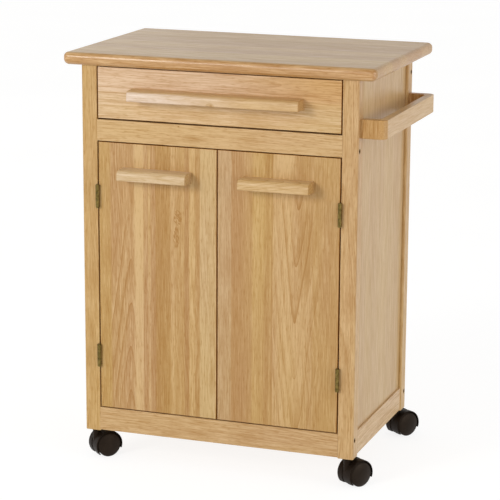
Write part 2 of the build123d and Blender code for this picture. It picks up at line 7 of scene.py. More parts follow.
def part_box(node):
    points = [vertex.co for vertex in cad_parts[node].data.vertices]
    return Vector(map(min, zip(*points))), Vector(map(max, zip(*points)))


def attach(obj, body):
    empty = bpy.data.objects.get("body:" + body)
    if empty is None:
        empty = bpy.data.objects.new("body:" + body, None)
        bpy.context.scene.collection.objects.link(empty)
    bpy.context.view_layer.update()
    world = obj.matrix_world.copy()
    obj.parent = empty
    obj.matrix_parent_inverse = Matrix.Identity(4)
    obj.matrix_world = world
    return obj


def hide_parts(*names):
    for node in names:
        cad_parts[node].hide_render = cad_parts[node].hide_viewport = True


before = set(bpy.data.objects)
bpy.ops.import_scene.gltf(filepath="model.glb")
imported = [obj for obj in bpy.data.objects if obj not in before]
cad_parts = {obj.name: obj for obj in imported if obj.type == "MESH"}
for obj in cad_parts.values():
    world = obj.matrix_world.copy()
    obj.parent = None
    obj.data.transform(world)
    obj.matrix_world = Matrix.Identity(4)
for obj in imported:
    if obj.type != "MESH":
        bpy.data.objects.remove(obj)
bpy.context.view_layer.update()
bpy.ops.object.select_all(action="DESELECT")


# Casters
# Hoods and twin wheels moulded in satin black-brown nylon, over plated steel stems and axles.
# Each hood turns on a stem that is pushed up into the foot of its post.
def wire(tree, node, sources):
    for socket, source in sources:
        if isinstance(source, bpy.types.NodeSocket):
            tree.links.new(source, node.inputs[socket])
        else:
            node.inputs[socket].default_value = source


def put(tree, kind, sources=(), **settings):
    node = tree.nodes.new(kind)
    for key, value in settings.items():
        setattr(node, key, value)
    wire(tree, node, sources)
    return node


def object_place(tree):
    return put(tree, "ShaderNodeTexCoord").outputs["Object"]


def noise(tree, vector, scale, detail):
    field = put(tree, "ShaderNodeTexNoise", (("Vector", vector), ("Scale", scale), ("Detail", detail)))
    return field.outputs["Fac"]


def fade(tree, value, start, end, first=0.0, last=1.0):
    limits = (("From Min", start), ("From Max", end), ("To Min", first), ("To Max", last))
    return put(tree, "ShaderNodeMapRange", (("Value", value), *limits)).outputs[0]


def toned(tree, share, stops):
    ramp = put(tree, "ShaderNodeValToRGB", (("Fac", share),))
    while len(ramp.color_ramp.elements) < len(stops):
        ramp.color_ramp.elements.new(0.5)
    for element, (position, colour) in zip(ramp.color_ramp.elements, stops):
        element.position = position
        element.color = (*colour, 1)
    return ramp.outputs["Color"]


def new_group(name, inputs, outputs):
    group = bpy.data.node_groups.new(name, "ShaderNodeTree")
    for label, kind, value in inputs:
        socket = group.interface.new_socket(name=label, in_out="INPUT", socket_type=kind)
        if value is not None:
            socket.default_value = value
    for label, kind in outputs:
        group.interface.new_socket(name=label, in_out="OUTPUT", socket_type=kind)
    return group, put(group, "NodeGroupInput"), put(group, "NodeGroupOutput")


moulded, given, result = new_group(
    "Moulded surface",
    (("Vector", "NodeSocketVector", None), ("Texture Size", "NodeSocketFloat", 1400.0)),
    (("Mottle", "NodeSocketFloat"), ("Stipple", "NodeSocketFloat")),
)
position, texture_size = given.outputs[:2]
wire(moulded, result, (
    ("Mottle", noise(moulded, position, scale=60.0, detail=3.0)),
    ("Stipple", noise(moulded, position, scale=texture_size, detail=2.0)),
))


def new_material(name):
    material = bpy.data.materials.new(name)
    material.use_nodes = True
    return material, material.node_tree, material.node_tree.nodes["Principled BSDF"]


def plastic(name, deep, worn, roughness, shine=0.16):
    material, tree, shader = new_material(name)
    skin = put(tree, "ShaderNodeGroup", (("Vector", object_place(tree)),), node_tree=moulded)
    mottle, stipple = skin.outputs[:2]
    grit = put(tree, "ShaderNodeBump", (("Height", stipple), ("Strength", 0.25), ("Distance", 0.0002)))
    wire(tree, shader, (
        ("Base Color", toned(tree, mottle, ((0.35, deep), (0.7, worn)))),
        ("Roughness", fade(tree, mottle, 0.0, 1.0, roughness - 0.06, roughness + 0.08)),
        ("Normal", grit.outputs["Normal"]),
        ("Specular IOR Level", shine),
        ("Specular Tint", (1.0, 0.76, 0.58, 1)),
    ))
    return material


def plated(name, dull, bright, roughness):
    material, tree, shader = new_material(name)
    cloud = noise(tree, object_place(tree), scale=180.0, detail=4.0)
    wire(tree, shader, (
        ("Base Color", toned(tree, cloud, ((0.3, dull), (0.7, bright)))),
        ("Roughness", fade(tree, cloud, 0.0, 1.0, roughness - 0.08, roughness + 0.1)),
        ("Metallic", 1.0),
    ))
    return material


def dress(node_name, material):
    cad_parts[node_name].material_slots[0].material = material


hood_plastic = plastic(
    "Black-brown nylon hood", deep=(0.0085, 0.0052, 0.0034), worn=(0.014, 0.0090, 0.0060),
    roughness=0.42, shine=0.11,
)
wheel_plastic = plastic(
    "Black-brown nylon wheel", deep=(0.0085, 0.0055, 0.0036), worn=(0.014, 0.0094, 0.0064),
    roughness=0.36, shine=0.18,
)
zinc = plated("Zinc-plated steel", dull=(0.42, 0.42, 0.41), bright=(0.60, 0.60, 0.58), roughness=0.34)
dress("caster_stems", zinc)
for corner in ("front_left", "front_right", "back_left", "back_right"):
    dress(f"{corner}_caster_hood", hood_plastic)
    dress(f"{corner}_caster_axle", zinc)
    dress(f"{corner}_caster_left_wheel", wheel_plastic)
    dress(f"{corner}_caster_right_wheel", wheel_plastic)


# Posts and rails
# Solid rubberwood, planed square with eased edges and finished in satin lacquer.
# The rails run between the posts and are drawn up by dark bolts through the posts.
def maths(tree, operation, *values):
    return put(tree, "ShaderNodeMath", enumerate(values), operation=operation).outputs[0]


def vector_maths(tree, operation, *values):
    node = put(tree, "ShaderNodeVectorMath", enumerate(values), operation=operation)
    return node.outputs["Value" if operation == "LENGTH" else "Vector"]


def axes(tree, vector):
    return put(tree, "ShaderNodeSeparateXYZ", ((0, vector),)).outputs


def blend(tree, share, first, second, way="MIX"):
    sources = ((0, share), (6, first), (7, second))
    return put(tree, "ShaderNodeMix", sources, data_type="RGBA", blend_type=way).outputs[2]


def stretched_noise(tree, vector, along, scale, detail):
    return noise(tree, vector_maths(tree, "MULTIPLY", vector, (1.0, 1.0, along)), scale, detail)


wood, given, result = new_group(
    "Lacquered timber",
    (
        ("Vector", "NodeSocketVector", None),
        ("Heart", "NodeSocketVector", (0.0, 0.06, 0.0)),
        ("Taper", "NodeSocketFloat", 0.012),
        ("Ring Size", "NodeSocketFloat", 0.0085),
        ("Figure", "NodeSocketFloat", 0.3),
        ("Shade", "NodeSocketFloat", 0.5),
        ("Rose", "NodeSocketFloat", 0.3),
        ("Grain", "NodeSocketFloat", 1.0),
        ("Tint", "NodeSocketColor", (1, 1, 1, 1)),
    ),
    (("Color", "NodeSocketColor"), ("Roughness", "NodeSocketFloat"), ("Height", "NodeSocketFloat")),
)
position, heart, taper, ring_size, figure_depth, board_shade, board_rose, grain, tint = given.outputs[:9]

# The fibres sway a little to either side along the board
sway = maths(
    wood, "MULTIPLY_ADD", stretched_noise(wood, position, along=0.14, scale=9.0, detail=2.0), 0.05, -0.025
)
bent = vector_maths(wood, "ADD", position, put(wood, "ShaderNodeCombineXYZ", (("X", sway),)).outputs[0])
fibres = stretched_noise(wood, bent, along=0.045, scale=380.0, detail=3.0)
streaks = stretched_noise(wood, bent, along=0.02, scale=95.0, detail=3.0)
drift = stretched_noise(wood, bent, along=0.12, scale=14.0, detail=2.0)
pores = fade(wood, stretched_noise(wood, position, along=0.10, scale=620.0, detail=1.0), 0.54, 0.68)

# Growth rings round the heart, darker where the late wood ends and stronger in some years
offset = axes(wood, vector_maths(wood, "SUBTRACT", bent, heart))
across_trunk = put(wood, "ShaderNodeCombineXYZ", (("X", offset["X"]), ("Y", offset["Y"]))).outputs[0]
reach = maths(wood, "MULTIPLY_ADD", offset["Z"], taper, vector_maths(wood, "LENGTH", across_trunk))
season = maths(wood, "FRACT", maths(wood, "DIVIDE", reach, ring_size))
late_wood = maths(wood, "SUBTRACT", maths(wood, "POWER", season, 5.0), 0.17)
years = put(
    wood,
    "ShaderNodeTexNoise",
    (("W", maths(wood, "MULTIPLY", reach, 45.0)), ("Detail", 2.0)),
    noise_dimensions="1D",
)
vigour = fade(wood, years.outputs["Fac"], 0.38, 0.62, 0.08, 1.1)
rings = maths(wood, "MULTIPLY", late_wood, maths(wood, "MULTIPLY", vigour, figure_depth))

# Together they darken the board, from pale honey or rose to deep brown
texture = -1.135
for layer, weight in ((fibres, 1.45), (streaks, 0.36), (drift, 0.35), (pores, 0.30), (rings, 0.34)):
    texture = maths(wood, "MULTIPLY_ADD", layer, weight, texture)
depth = maths(wood, "MULTIPLY_ADD", texture, grain, board_shade)
honey = toned(wood, depth, (
    (0.2, (0.625, 0.415, 0.172)),
    (0.5, (0.500, 0.300, 0.094)),
    (0.85, (0.395, 0.205, 0.044)),
))
rose = toned(wood, depth, (
    (0.2, (0.635, 0.420, 0.220)),
    (0.5, (0.490, 0.284, 0.122)),
    (0.85, (0.385, 0.190, 0.058)),
))
blush = maths(wood, "MULTIPLY_ADD", maths(wood, "SUBTRACT", drift, 0.5), 1.5, board_rose)
wire(wood, result, (
    ("Color", blend(wood, 1.0, blend(wood, blush, honey, rose), tint, way="MULTIPLY")),
    ("Roughness", fade(wood, fibres, 0.3, 0.7, 0.32, 0.46)),
    ("Height", maths(wood, "MULTIPLY_ADD", pores, -0.6, fibres)),
))


def board_vector(tree, order, start):
    from_corner = axes(tree, vector_maths(tree, "SUBTRACT", object_place(tree), start))
    turned = enumerate(from_corner[axis] for axis in order)
    return put(tree, "ShaderNodeCombineXYZ", turned).outputs[0]


def timber(name, order, start=(0, 0, 0), sheen=0.3, **growth):
    material, tree, shader = new_material(name)
    vector = board_vector(tree, order, start)
    skin = put(tree, "ShaderNodeGroup", (("Vector", vector),), node_tree=wood)
    for key, value in growth.items():
        socket = skin.inputs[key.replace("_", " ").title()]
        socket.default_value = (*value, 1) if key == "tint" else value
    colour, roughness, height = skin.outputs[:3]
    open_grain = put(tree, "ShaderNodeBump", (("Height", height), ("Strength", 0.12), ("Distance", 0.0003)))
    wire(tree, shader, (
        ("Base Color", colour),
        ("Roughness", roughness),
        ("Normal", open_grain.outputs["Normal"]),
        ("Specular IOR Level", sheen),
    ))
    return material, tree, skin, vector


def patch(tree, vector, centre, reach):
    away = vector_maths(tree, "SUBTRACT", vector, centre)
    span = vector_maths(tree, "LENGTH", vector_maths(tree, "DIVIDE", away, reach))
    return fade(tree, span, 1.0, 0.7)


def knotted(tree, vector, shade, knots):
    for centre, reach, strength in knots:
        shade = maths(tree, "MULTIPLY_ADD", patch(tree, vector, centre, reach), strength, shade)
    return shade


# Shade, rose and figure of each post
post_looks = {
    "front_left_post": (0.47, 0.2, 0.2),
    "front_right_post": (0.43, 0.65, 0.6),
    "back_left_post": (0.46, 0.3, 0.3),
    "back_right_post": (0.44, 0.4, 0.3),
}
for post, (shade, rose, figure) in post_looks.items():
    name = post.replace("_post", " post timber")
    material = timber(
        name, ("X", "Y", "Z"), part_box(post)[0], sheen=0.42,
        taper=0.03, figure=figure, shade=shade, rose=rose, grain=0.8,
    )[0]
    dress(post, material)

# Shade and rose of each rail, and the knots by place, reach and strength
rail_looks = {
    "front_mid_rail": (0.32, 0.55),
    "front_bottom_rail": (0.42, 0.75),
    "back_top_rail": (0.32, 0.55),
    "back_bottom_rail": (0.42, 0.75),
}
rail_knots = {
    "front_mid_rail": (
        ((0.0385, 0.0, 0.172), (0.0016, 0.01, 0.0022), 0.9),
        ((0.014, 0.0, 0.196), (0.010, 0.02, 0.022), 0.12),
    ),
}
for rail, (shade, rose) in rail_looks.items():
    material, tree, skin, vector = timber(
        f"{rail} timber", ("Z", "Y", "X"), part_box(rail)[0],
        figure=0.25, rose=rose, grain=0.8, tint=(1.0, 1.02, 1.06),
    )
    wire(tree, skin, (("Shade", knotted(tree, vector, shade, rail_knots.get(rail, ()))),))
    dress(rail, material)
side_timber = timber(
    "Side rail timber", ("Z", "X", "Y"), sheen=0.45,
    figure=0.2, shade=0.34, rose=0.7, grain=0.7, tint=(1.01, 1.03, 1.07),
)[0]
for rail in ("side_rail", "top_cleat", "drawer_runner"):
    dress(f"left_{rail}", side_timber)
    dress(f"right_{rail}", side_timber)


# Frame bolts
# Dark bronzed steel bolts with round heads and hexagon sockets.
# They go through the posts into the rails, on both sides, and hold the frame together.
def turned_disc(radius, height, base, facets):
    middle = (0, 0, base + height / 2)
    bpy.ops.mesh.primitive_cylinder_add(vertices=facets, radius=radius, depth=height, location=middle)
    bpy.ops.object.transform_apply(location=True, rotation=False, scale=False)
    return bpy.context.object


def edit(piece, chosen):
    bpy.ops.object.select_all(action="DESELECT")
    piece.select_set(True)
    bpy.context.view_layer.objects.active = piece
    bpy.context.tool_settings.mesh_select_mode = (False, False, True)
    for part in (*piece.data.vertices, *piece.data.edges):
        part.select = False
    for face in piece.data.polygons:
        face.select = chosen(face)
    bpy.ops.object.mode_set(mode="EDIT")


def ease(piece, chosen, width, segments):
    edit(piece, chosen)
    bpy.ops.mesh.bevel(offset=width, segments=segments, affect="EDGES")
    bpy.ops.object.mode_set(mode="OBJECT")


def cut(piece, cutter):
    recess = piece.modifiers.new("recess", "BOOLEAN")
    recess.operation = "DIFFERENCE"
    recess.object = cutter
    bpy.context.view_layer.objects.active = piece
    bpy.ops.object.modifier_apply(modifier=recess.name)
    bpy.data.objects.remove(cutter, do_unlink=True)


def set_out(model, name, places, material):
    copies = []
    for place in places:
        copy = model.copy()
        copy.data = model.data.copy()
        copy.data.transform(place)
        bpy.context.scene.collection.objects.link(copy)
        copies.append(copy)
    bpy.ops.object.select_all(action="DESELECT")
    for copy in copies:
        copy.select_set(True)
    bpy.context.view_layer.objects.active = copies[0]
    bpy.ops.object.join()
    piece = bpy.context.object
    piece.name = name
    piece.data.materials.clear()
    piece.data.materials.append(material)
    bpy.ops.object.shade_smooth_by_angle(angle=math.radians(35))
    return piece


def facing(place, turn, axis):
    return Matrix.Translation(place) @ Matrix.Rotation(math.radians(turn), 4, axis)


head_radius, head_height, head_ease = 0.0048, 0.004, 0.0007
shank_radius, shank_length = 0.003, 0.062
socket_radius, socket_depth = 0.0029, 0.0026
rail_bolt_height = 0.0125
dark_steel = plated(
    "Dark bronzed steel", dull=(0.105, 0.062, 0.020), bright=(0.190, 0.120, 0.045), roughness=0.5
)
bolt = turned_disc(head_radius, head_height, base=-head_height, facets=48)
ease(bolt, lambda face: face.normal.z > 0.9, head_ease, segments=3)
edit(bolt, lambda face: face.normal.z < -0.9)
bpy.ops.mesh.inset(thickness=head_radius - shank_radius)
bpy.ops.mesh.extrude_region_move(TRANSFORM_OT_translate={"value": (0, 0, -shank_length)})
bpy.ops.object.mode_set(mode="OBJECT")
cut(bolt, turned_disc(socket_radius, 2 * socket_depth, base=-socket_depth, facets=6))
low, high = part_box("frame_bolts")
bottom, top = low.z + head_radius, high.z - head_radius
mid_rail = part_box("front_mid_rail")[0].z + rail_bolt_height
seats = []
for x, turn in ((low.x, -90), (high.x, 90)):
    for y, levels in ((low.y + head_radius, (bottom, mid_rail)), (high.y - head_radius, (bottom, top))):
        seats += [facing((x, y, z), turn, "Y") for z in levels]
bolts = set_out(bolt, "socket_bolts", seats, dark_steel)
bpy.data.objects.remove(bolt, do_unlink=True)
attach(bolts, "cabinet")
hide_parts("frame_bolts")


# Side, back and bottom panels, and the shelf
# Veneered sheet let into grooves, with the face grain upright on the sides and back.
# The shelf lies loose on four plated pins.
veneer_shade, slice_depth = 0.32, 0.24
# Painted light: the veneer above the towel bar is made paler, standing in for light bounced from the worktop
# and the bar
bounce_light_from, bounce_light_to, bounce_light_by = 0.69, 0.72, -0.11
side_veneer, tree, skin, vector = timber(
    "Side veneer", ("Y", "X", "Z"), sheen=0.5, figure=0.0, rose=0.6, grain=0.42, tint=(1.0, 1.06, 1.12)
)
slices = stretched_noise(tree, vector, along=0.004, scale=230.0, detail=1.0)
painted_bounce_under_top = fade(tree, axes(tree, vector)["Z"], bounce_light_from, bounce_light_to)
shade = maths(tree, "MULTIPLY_ADD", slices, slice_depth, veneer_shade)
shade = maths(tree, "MULTIPLY_ADD", painted_bounce_under_top, bounce_light_by, shade)
wire(tree, skin, (("Shade", shade),))
for panel in ("left_side_panel", "right_side_panel"):
    dress(panel, side_veneer)
dress("back_panel", timber("Back veneer", ("X", "Y", "Z"), figure=0.3, shade=0.48, rose=0.5, grain=0.7)[0])
floor_veneer = timber("Floor veneer", ("Y", "Z", "X"), figure=0.3, shade=0.45, rose=0.4, grain=0.7)[0]
for panel in ("bottom_panel", "shelf"):
    dress(panel, floor_veneer)
dress("shelf_pins", zinc)


# Worktop
# Edge-glued rubberwood staves along the width, with rounded edges, under satin lacquer.
# It oversails the posts and is screwed up through the cleats.
def staves(tree, vector, width, rows):
    share = maths(tree, "DIVIDE", axes(tree, vector)["X"], width)
    first_edge, _, before = rows[0]
    stops = [(first_edge, before)]
    for edge, blur, look in rows[1:]:
        stops += [(edge - blur, before), (edge + blur, look)]
        before = look
    return put(tree, "ShaderNodeSeparateColor", ((0, toned(tree, share, stops)),)).outputs[:3]


def from_ends(tree, along, length):
    return maths(tree, "MINIMUM", along, maths(tree, "SUBTRACT", length, along))


# Each stave's edge as a share of the depth, the blur of its joint, and its shade, rose and figure
worktop_rows = (
    (0.0, 0.0, (0.50, 0.35, 0.3)),
    (0.13, 0.003, (0.42, 0.25, 0.2)),
    (0.27, 0.003, (0.50, 0.55, 0.3)),
    (0.39, 0.003, (0.41, 0.30, 0.2)),
    (0.52, 0.003, (0.50, 0.60, 0.4)),
    (0.64, 0.003, (0.56, 0.45, 0.2)),
    (0.78, 0.003, (0.42, 0.35, 0.3)),
    (0.90, 0.003, (0.52, 0.50, 0.2)),
)
round_from, round_to = 0.010, 0.003
top_tint, nosing_tint = (1.0, 1.025, 1.06, 1), (1.05, 1.0, 1.03, 1)
top_grain, nosing_grain = 0.55, 0.5
top_coat, nosing_coat = 0.15, 0.28
low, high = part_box("worktop")
worktop_timber, tree, skin, vector = timber(
    "Worktop timber", ("Y", "Z", "X"), low, sheen=0.46, ring_size=0.006
)
shade, rose, figure = staves(tree, vector, high.y - low.y, worktop_rows)
board = axes(tree, vector)
end_grain = fade(tree, from_ends(tree, board["Z"], high.x - low.x), round_from, round_to)
nosing = fade(tree, board["X"], round_from, round_to)
for mask, darker, redder in ((end_grain, 0.12, 0.35), (nosing, 0.08, 0.2)):
    shade = maths(tree, "MULTIPLY_ADD", mask, darker, shade)
    rose = maths(tree, "MULTIPLY_ADD", mask, redder, rose)
wire(tree, skin, (
    ("Shade", shade),
    ("Rose", rose),
    ("Figure", figure),
    ("Grain", maths(tree, "MULTIPLY_ADD", nosing, nosing_grain, top_grain)),
    ("Tint", blend(tree, nosing, top_tint, nosing_tint)),
))
wire(tree, tree.nodes["Principled BSDF"], (
    ("Coat Weight", maths(tree, "MULTIPLY_ADD", nosing, nosing_coat, top_coat)),
    ("Coat Roughness", 0.2),
))
dress("worktop", worktop_timber)


# Towel bar
# Two short arms and a rail of the same timber, glued up and rounded at the corners.
# The arms are screwed to the right-hand posts from inside.
# The rail's ends are tinted darker and warmer: partly the end grain's own colour, partly painted shade
dark_end_from, dark_end_to = 0.012, 0.009
rail_tint, end_grain_and_shade_tint = (1.0, 1.03, 1.08, 1), (0.87, 0.77, 0.56, 1)
low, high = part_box("towel_bar_rail")
bar_timber, tree, skin, vector = timber(
    "Towel rail timber", ("Z", "X", "Y"), sheen=0.45, figure=0.1, shade=0.35, rose=0.8, grain=0.35
)
from_front = maths(tree, "SUBTRACT", axes(tree, vector)["Z"], low.y)
end_grain_and_shade = fade(tree, from_ends(tree, from_front, high.y - low.y), dark_end_from, dark_end_to)
wire(tree, skin, (("Tint", blend(tree, end_grain_and_shade, rail_tint, end_grain_and_shade_tint)),))
dress("towel_bar_rail", bar_timber)
arm_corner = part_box("towel_bar_front_arm")[0]
arm_timber = timber(
    "Towel arm timber", ("X", "Y", "Z"), arm_corner,
    figure=0.9, shade=0.64, rose=0.35, ring_size=0.011, tint=(0.97, 0.92, 0.93),
)[0]
for arm in ("towel_bar_front_arm", "towel_bar_back_arm"):
    dress(arm, arm_timber)


# Drawer
# A solid front with grain across it, on a thin-sided box that runs on wooden rails.
# The front's lower and side edges are tinted darker and warmer, as painted shade in the gaps round it.
# Painted shade in the gaps between parts: how far in from a cut edge the dark warm tint starts and becomes
# full, and its colour
gap_shade_from, gap_shade_to, gap_shade_tint = 0.0008, 0.0002, (0.78, 0.55, 0.27, 1)


def painted_gap_shade(tree, first_edge, second_edge, face_tint):
    gap_shade_band = fade(tree, maths(tree, "MINIMUM", first_edge, second_edge), gap_shade_from, gap_shade_to)
    return blend(tree, gap_shade_band, face_tint, gap_shade_tint)


# Each stave's edge as a share of the height, the blur of its joint, and its shade, rose and figure
drawer_rows = (
    (0.0, 0.0, (0.43, 0.40, 0.3)),
    (0.30, 0.05, (0.41, 0.50, 0.4)),
    (0.55, 0.02, (0.38, 0.95, 0.8)),
    (0.84, 0.02, (0.36, 0.85, 0.7)),
)
line_depth, darker_right = 0.6, 0.06
redder_left, rose_fall = 0.25, -0.4
pale_tint, ripe_tint = (1.15, 1.26, 1.60, 1), (0.99, 0.92, 0.82, 1)
low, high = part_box("drawer_front")
width, height = high.x - low.x, high.z - low.z
drawer_timber, tree, skin, vector = timber(
    "Drawer front timber", ("Z", "Y", "X"), low, heart=(0.085, 0.03, 0.3), taper=0.05, grain=0.62
)
shade, rose, figure = staves(tree, vector, height, drawer_rows)
board = axes(tree, vector)
long_lines = stretched_noise(tree, vector, along=0.022, scale=360.0, detail=2.0)
from_left = maths(tree, "DIVIDE", board["Z"], width)
for change, depth in ((long_lines, line_depth), (from_left, darker_right)):
    shade = maths(tree, "ADD", shade, maths(tree, "MULTIPLY_ADD", change, depth, -depth / 2))
rose = maths(tree, "ADD", rose, maths(tree, "MULTIPLY_ADD", from_left, rose_fall, redder_left))
ripe_right = fade(tree, board["Z"], 0.5 * width, 0.9 * width)
ripe_above = fade(tree, board["X"], 0.4 * height, 0.6 * height)
ripe = maths(tree, "MULTIPLY", ripe_right, ripe_above)
face_tint = blend(tree, ripe, pale_tint, ripe_tint)
wire(tree, skin, (
    ("Shade", shade),
    ("Rose", rose),
    ("Figure", figure),
    ("Tint", painted_gap_shade(tree, board["X"], from_ends(tree, board["Z"], width), face_tint)),
))
dress("drawer_front", drawer_timber)
for wall in ("drawer_left_side", "drawer_right_side"):
    dress(wall, side_timber)
dress("drawer_back", timber("Drawer back timber", ("Z", "Y", "X"), figure=0.2, shade=0.42, rose=0.3)[0])
dress("drawer_bottom", floor_veneer)


# Doors
# Flat slabs of edge-glued rubberwood staves with upright grain, some with arched figure.
# They hang on butt hinges between the posts, under the middle rail.
def slab_patch(tree, vector, width, height, centre, reach):
    middle = (centre[0] * width, 0.0, centre[1] * height)
    return patch(tree, vector, middle, (reach[0] * width, 0.1, reach[1] * height))


def strokes(tree, vector, lean):
    turn = (0, math.radians(lean), 0)
    turned = put(tree, "ShaderNodeMapping", (("Vector", vector), ("Rotation", turn))).outputs[0]
    return fade(tree, stretched_noise(tree, turned, along=0.22, scale=420.0, detail=1.0), 0.46, 0.58)


# Each stave's edge as a share of the width, the blur of its joint, and its shade, rose and figure
door_rows = {
    "left": (
        (0.0, 0.0, (0.49, 0.25, 0.15)),
        (0.10, 0.01, (0.52, 0.85, 1.0)),
        (0.305, 0.014, (0.18, 0.55, 0.05)),
        (0.38, 0.006, (0.50, 0.90, 0.1)),
        (0.42, 0.004, (0.34, 0.50, 0.1)),
        (0.44, 0.004, (0.53, 0.80, 0.1)),
        (0.485, 0.003, (0.62, 0.35, 0.1)),
        (0.61, 0.008, (0.37, 0.50, 0.1)),
        (0.65, 0.006, (0.47, 0.50, 0.15)),
        (0.73, 0.006, (0.61, 0.80, 0.1)),
        (0.77, 0.006, (0.32, 0.30, 0.1)),
        (0.82, 0.006, (0.54, 0.45, 0.1)),
        (0.86, 0.002, (0.25, 0.30, 0.1)),
        (0.95, 0.006, (0.29, 0.30, 0.1)),
    ),
    "right": (
        (0.0, 0.0, (0.40, 0.95, 0.15)),
        (0.115, 0.002, (0.60, 0.95, 0.1)),
        (0.23, 0.03, (0.52, 0.65, 0.1)),
        (0.29, 0.01, (0.40, 0.20, 0.1)),
        (0.39, 0.006, (0.55, 0.30, 0.15)),
        (0.43, 0.004, (0.43, 0.20, 0.15)),
        (0.445, 0.003, (0.58, 0.30, 0.15)),
        (0.46, 0.002, (0.32, 0.40, 0.9)),
        (0.62, 0.02, (0.45, 0.60, 1.0)),
        (0.79, 0.01, (0.48, 0.40, 0.6)),
    ),
}
# The heart's place across the slab and its depth behind the face, and how the tree grew
door_hearts = {"left": (0.255, 0.007), "right": (0.68, 0.012)}
door_growth = {
    "left": {"taper": 0.15, "ring_size": 0.0135, "grain": 0.72},
    "right": {"taper": -0.12, "ring_size": 0.0135, "grain": 0.6},
}
# Places and reaches here are shares of the slab's width and height
arched_figure = {"left": ((0.21, 0.18), (0.16, 0.60)), "right": ((0.66, 0.36), (0.26, 0.60))}
door_patches = {
    "left": (),
    "right": (
        ((0.73, 0.68), (0.075, 0.16), 0.14),
        ((0.70, 0.31), (0.085, 0.21), -0.10),
        ((0.25, 1.0), (0.045, 0.09), -0.10),
        ((0.42, 1.0), (0.050, 0.09), 0.12),
        ((0.555, 1.0), (0.085, 0.09), -0.13),
        ((0.71, 1.0), (0.075, 0.10), 0.13),
    ),
}
door_flecks = {
    "left": (((0.675, 0.742), (0.036, 0.030), 38), ((0.662, 0.668), (0.026, 0.042), 14)),
    "right": (),
}
door_sapwood = {"left": (0.855, 0.865), "right": (0.118, 0.112)}
heartwood_tint, sapwood_tint = (1.0, 1.015, 1.03, 1), (0.965, 1.015, 1.08, 1)
plain_figure, arch_figure, painted_shade_at_foot = 0.3, 2.6, 0.09
for side in ("left", "right"):
    low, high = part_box(f"{side}_door_panel")
    width, height = high.x - low.x, high.z - low.z
    across, behind = door_hearts[side]
    door_timber, tree, skin, vector = timber(
        f"{side} door timber", ("X", "Y", "Z"), low, heart=(across * width, behind, 0.0), **door_growth[side]
    )
    shade, rose, figure = staves(tree, vector, width, door_rows[side])
    for centre, reach, strength in door_patches[side]:
        spot = slab_patch(tree, vector, width, height, centre, reach)
        shade = maths(tree, "MULTIPLY_ADD", spot, strength, shade)
    for centre, reach, lean in door_flecks[side]:
        spot = slab_patch(tree, vector, width, height, centre, reach)
        shade = maths(tree, "MULTIPLY_ADD", strokes(tree, vector, lean), spot, shade)
    slab = axes(tree, vector)
    # Painted shade: each door grows darker towards its foot
    shade = maths(tree, "MULTIPLY_ADD", fade(tree, slab["Z"], height, 0.0), painted_shade_at_foot, shade)
    arches = slab_patch(tree, vector, width, height, *arched_figure[side])
    figure = maths(tree, "MULTIPLY", figure, maths(tree, "MULTIPLY_ADD", arches, arch_figure, plain_figure))
    sapwood = fade(tree, slab["X"], *(share * width for share in door_sapwood[side]))
    face_tint = blend(tree, sapwood, heartwood_tint, sapwood_tint)
    # Painted shade in the gaps round each door: the slab's edges are tinted darker and warmer
    side_edges = from_ends(tree, slab["X"], width)
    end_edges = from_ends(tree, slab["Z"], height)
    wire(tree, skin, (
        ("Shade", shade),
        ("Rose", rose),
        ("Figure", figure),
        ("Tint", painted_gap_shade(tree, side_edges, end_edges, face_tint)),
    ))
    dress(f"{side}_door_panel", door_timber)


# Pulls
# Bars of the same timber, rounded over at the front and hollowed underneath for the fingers.
# Two pan-head screws hold each one, driven from inside the drawer front or the door.
pull_looks = {
    "drawer_pull": {"heart": (0.01, 0.03, 0.0), "figure": 0.3, "shade": 0.33, "rose": 0.5, "taper": 0.03},
    "left_door_pull": {
        "heart": (0.0, 0.03, 0.05), "figure": 0.6, "shade": 0.36, "rose": 0.3, "taper": 0.04,
        "tint": (1.08, 1.22, 1.72),
    },
    "right_door_pull": {
        "heart": (0.04, 0.01, 0.03), "figure": 2.2, "shade": 0.40, "rose": 0.3, "taper": 0.16,
        "ring_size": 0.0055, "tint": (1.07, 1.13, 1.34),
    },
}
pull_knots = {
    "drawer_pull": (
        ((0.004, 0.0, 0.173), (0.007, 0.03, 0.010), 0.2),
        ((0.005, 0.0, 0.175), (0.003, 0.03, 0.003), 0.3),
    ),
}
sawn_from, sawn_to, sawn_darker = 0.0012, 0.0004, 0.25
painted_sheen_end, ripe_end, painted_top_shade = (1.22, 1.48, 2.60, 1), (1.03, 1.06, 1.14, 1), (0.98, 0.93, 0.86, 1)
for pull, look in pull_looks.items():
    low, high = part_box(pull)
    length, depth = high.x - low.x, high.z - low.z
    material, tree, skin, vector = timber(
        f"{pull} timber", ("Z", "Y", "X"), low, sheen=0.4, grain=0.55, **look
    )
    bar = axes(tree, vector)
    sawn_end = fade(tree, from_ends(tree, bar["Z"], length), sawn_from, sawn_to)
    shade = maths(tree, "MULTIPLY_ADD", sawn_end, sawn_darker, look["shade"])
    wire(tree, skin, (("Shade", knotted(tree, vector, shade, pull_knots.get(pull, ()))),))
    # On the drawer pull the pale left end is a painted sheen, and the darker top face is painted shade
    if pull == "drawer_pull":
        from_left = fade(tree, bar["Z"], 0.15 * length, 0.70 * length)
        painted_top_shade_band = fade(tree, bar["X"], 0.80 * depth, 0.97 * depth)
        front_tint_with_sheen = blend(tree, from_left, painted_sheen_end, ripe_end)
        wire(tree, skin, (("Tint", blend(tree, painted_top_shade_band, front_tint_with_sheen, painted_top_shade)),))
    dress(pull, material)


def cross_cut(screw, top, length, width, depth):
    for size in ((length, width), (width, length)):
        bpy.ops.mesh.primitive_cube_add(size=1.0, location=(0, 0, top), scale=(*size, 2 * depth))
        cut(screw, bpy.context.object)


